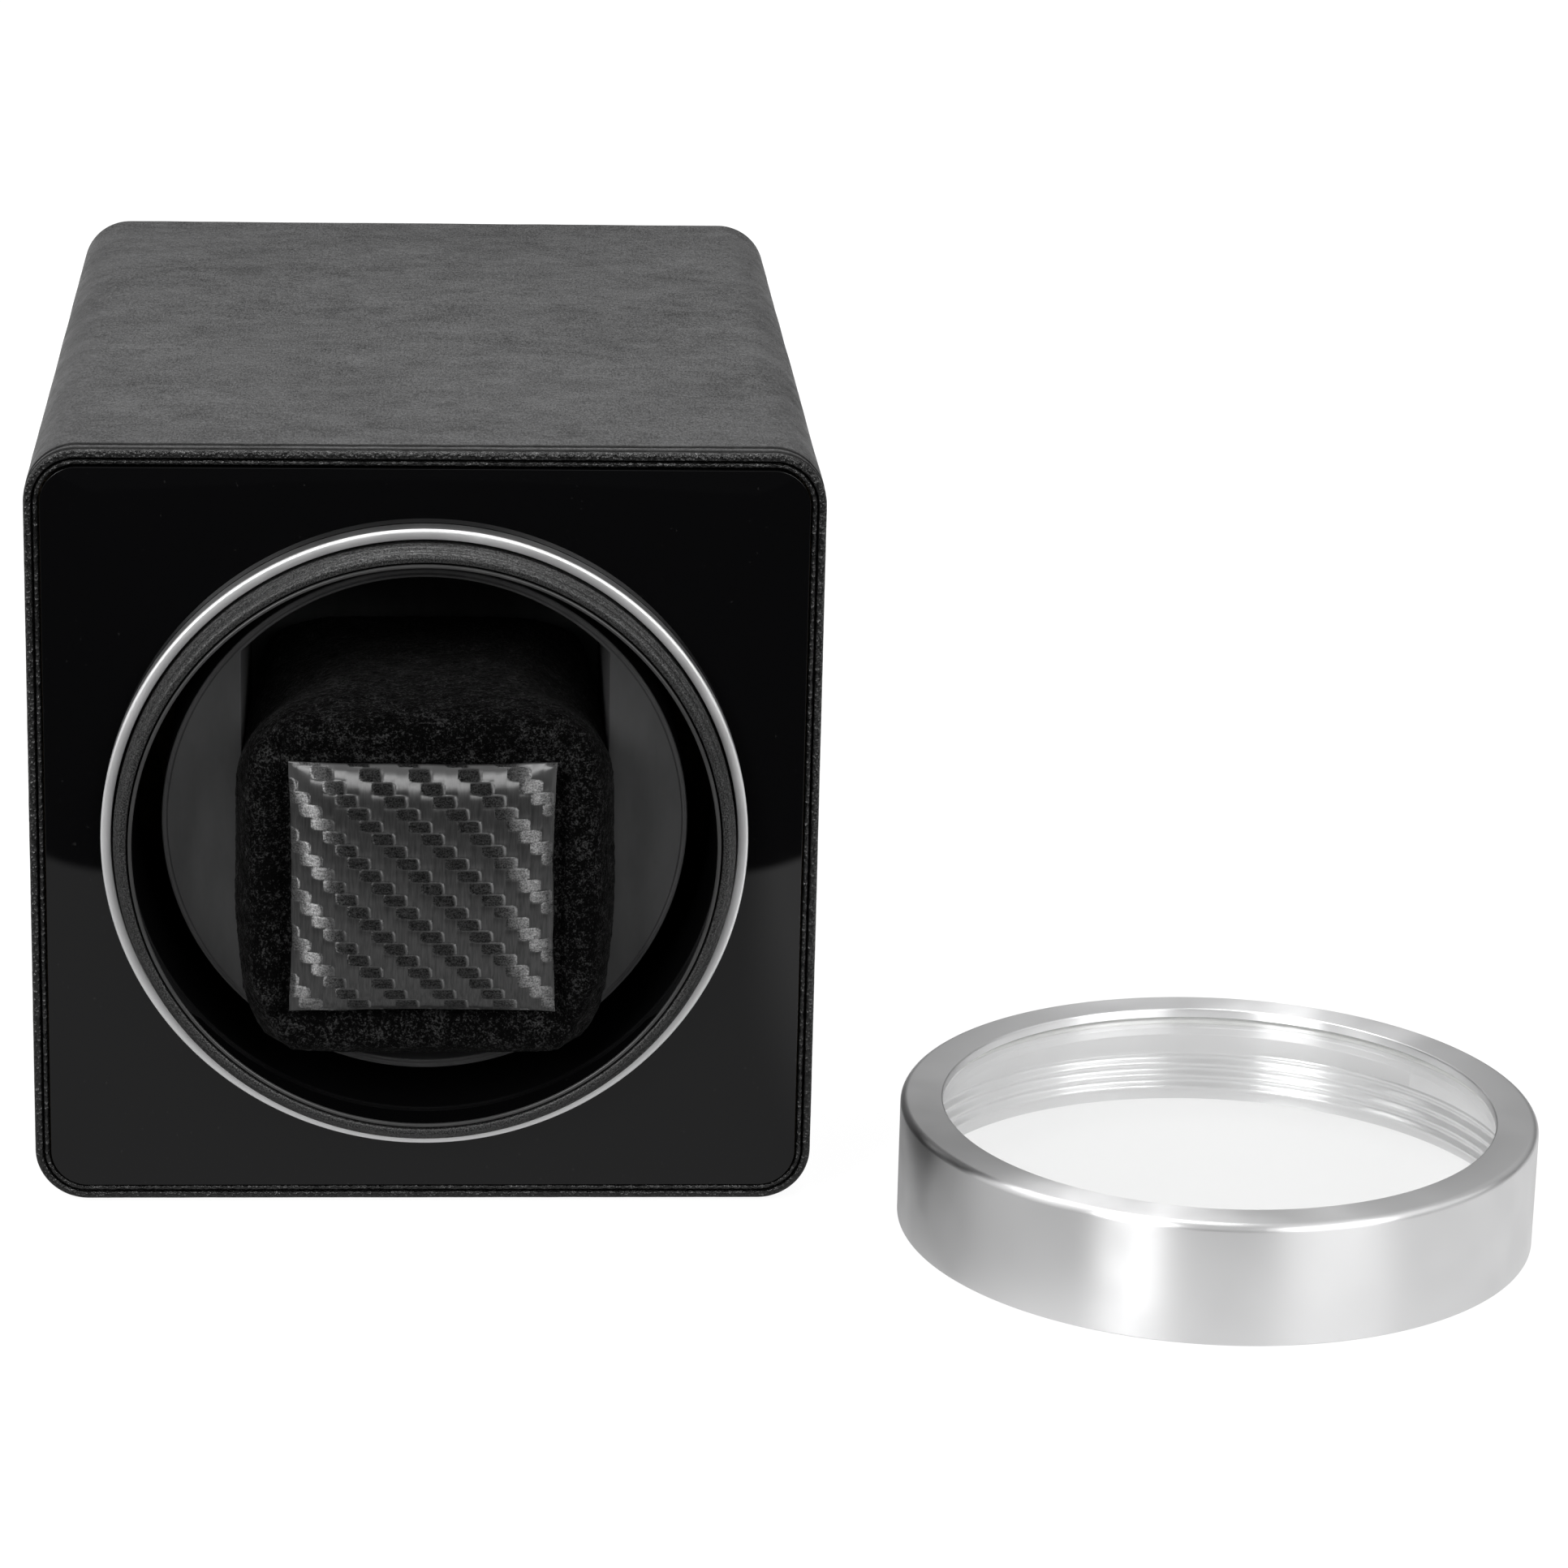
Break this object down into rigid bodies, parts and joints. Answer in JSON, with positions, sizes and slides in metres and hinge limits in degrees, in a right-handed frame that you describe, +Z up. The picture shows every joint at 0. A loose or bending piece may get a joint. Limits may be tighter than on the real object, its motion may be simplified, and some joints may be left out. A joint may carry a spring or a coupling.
{
  "type": "watch winder box",
  "caption": "Leather-covered box with a gloss front, a belt-driven drum that turns a watch cushion, and a loose glazed screw-on bezel cap.",
  "frame": {"origin": "middle of the base pad's underside, on the floor plane", "axes": "+Z up; the drum's opening faces -Y; +X is to the right seen from the front, where the cap lies"},
  "size_m": [0.2275, 0.2222, 0.1182],
  "materials": {
    "leather": "smooth grained black leather",
    "fibreboard": "raw medium-density fibreboard, stained dark",
    "gloss_panel": "piano black lacquer",
    "gloss_liner": "polished black tube",
    "matte_black": "fine matt moulding",
    "black_thread": "sandblasted, black anodised",
    "bright_metal": "satin-polished aluminium",
    "steel": "bright zinc-plated",
    "brass": "turned",
    "velvet": "short black pile over foam",
    "patch_leather": "embossed two-by-two twill",
    "rubber": "soft black",
    "board": "green solder mask",
    "window": "clear polished"
  },
  "bodies": {
    "case": {"case_shell": "fibreboard", "leather_wrap": "leather", "front_welt": "leather", "front_panel": "gloss_panel", "ring_flange": "bright_metal", "threaded_collar": "black_thread", "liner_tube": "gloss_liner", "back_panel": "matte_black", "base_pad": "rubber", "drive_plate": "fibreboard", "bearing_bush": "brass", "motor_gearbox": "steel", "motor_can": "steel", "drive_belt": "rubber", "dc_jack": "matte_black", "dc_jack_nut": "steel", "mode_switch": "steel", "mode_switch_nut": "steel", "rocker_bezel": "matte_black", "circuit_board": "board", "back_screw_1": "steel", "board_screw_1": "steel", "board_standoff_1": "brass", "back_screw_2": "steel", "board_screw_2": "steel", "board_standoff_2": "brass", "back_screw_3": "steel", "board_screw_3": "steel", "board_standoff_3": "brass", "back_screw_4": "steel", "board_screw_4": "steel", "board_standoff_4": "brass", "motor_screw_1": "steel", "motor_screw_2": "steel"},
    "drum": {"drum_barrel": "matte_black", "drum_back": "matte_black", "drum_axle": "steel", "axle_circlip": "steel", "drum_pulley": "matte_black", "pulley_set_screw": "steel", "drum_screw_1": "steel", "drum_screw_2": "steel", "drum_screw_3": "steel"},
    "cushion": {"watch_cushion": "velvet", "cushion_patch": "patch_leather"},
    "motor_drive": {"motor_shaft": "steel", "motor_pulley": "matte_black"},
    "power_switch": {"power_rocker": "matte_black"},
    "mode_control": {"mode_knob": "matte_black", "mode_spindle": "steel"},
    "cap": {"cap_ring": "bright_metal", "cap_glass": "window", "glass_gasket": "rubber"}
  },
  "joints": [
    {"name": "drum_spin", "type": "hinge", "parent": "case", "child": "drum", "pos_m": [0, -0.07435, 0.0594], "axis": [0, 1, 0], "continuous": true},
    {"name": "motor_spin", "type": "hinge", "parent": "case", "child": "motor_drive", "pos_m": [0, -0.012, 0.0264], "axis": [0, 1, 0], "continuous": true},
    {"name": "cushion_slide", "type": "slide", "parent": "drum", "child": "cushion", "axis": [0, -1, 0], "range_m": [0, 0.065]},
    {"name": "power_rock", "type": "hinge", "parent": "case", "child": "power_switch", "pos_m": [-0.026, 0.073, 0.0594], "axis": [-1, 0, 0], "range_deg": [0, 18]},
    {"name": "mode_turn", "type": "hinge", "parent": "case", "child": "mode_control", "pos_m": [0, 0.08, 0.0594], "axis": [0, -1, 0], "range_deg": [0, 120]},
    {"name": "cap_lift", "type": "slide", "parent": "case", "child": "cap", "axis": [0, 0, 1], "range_m": [0, 0.12]}
  ],
  "couplings": [
    {"joint": "motor_spin", "follows": "drum_spin", "ratio": 3.16}
  ]
}
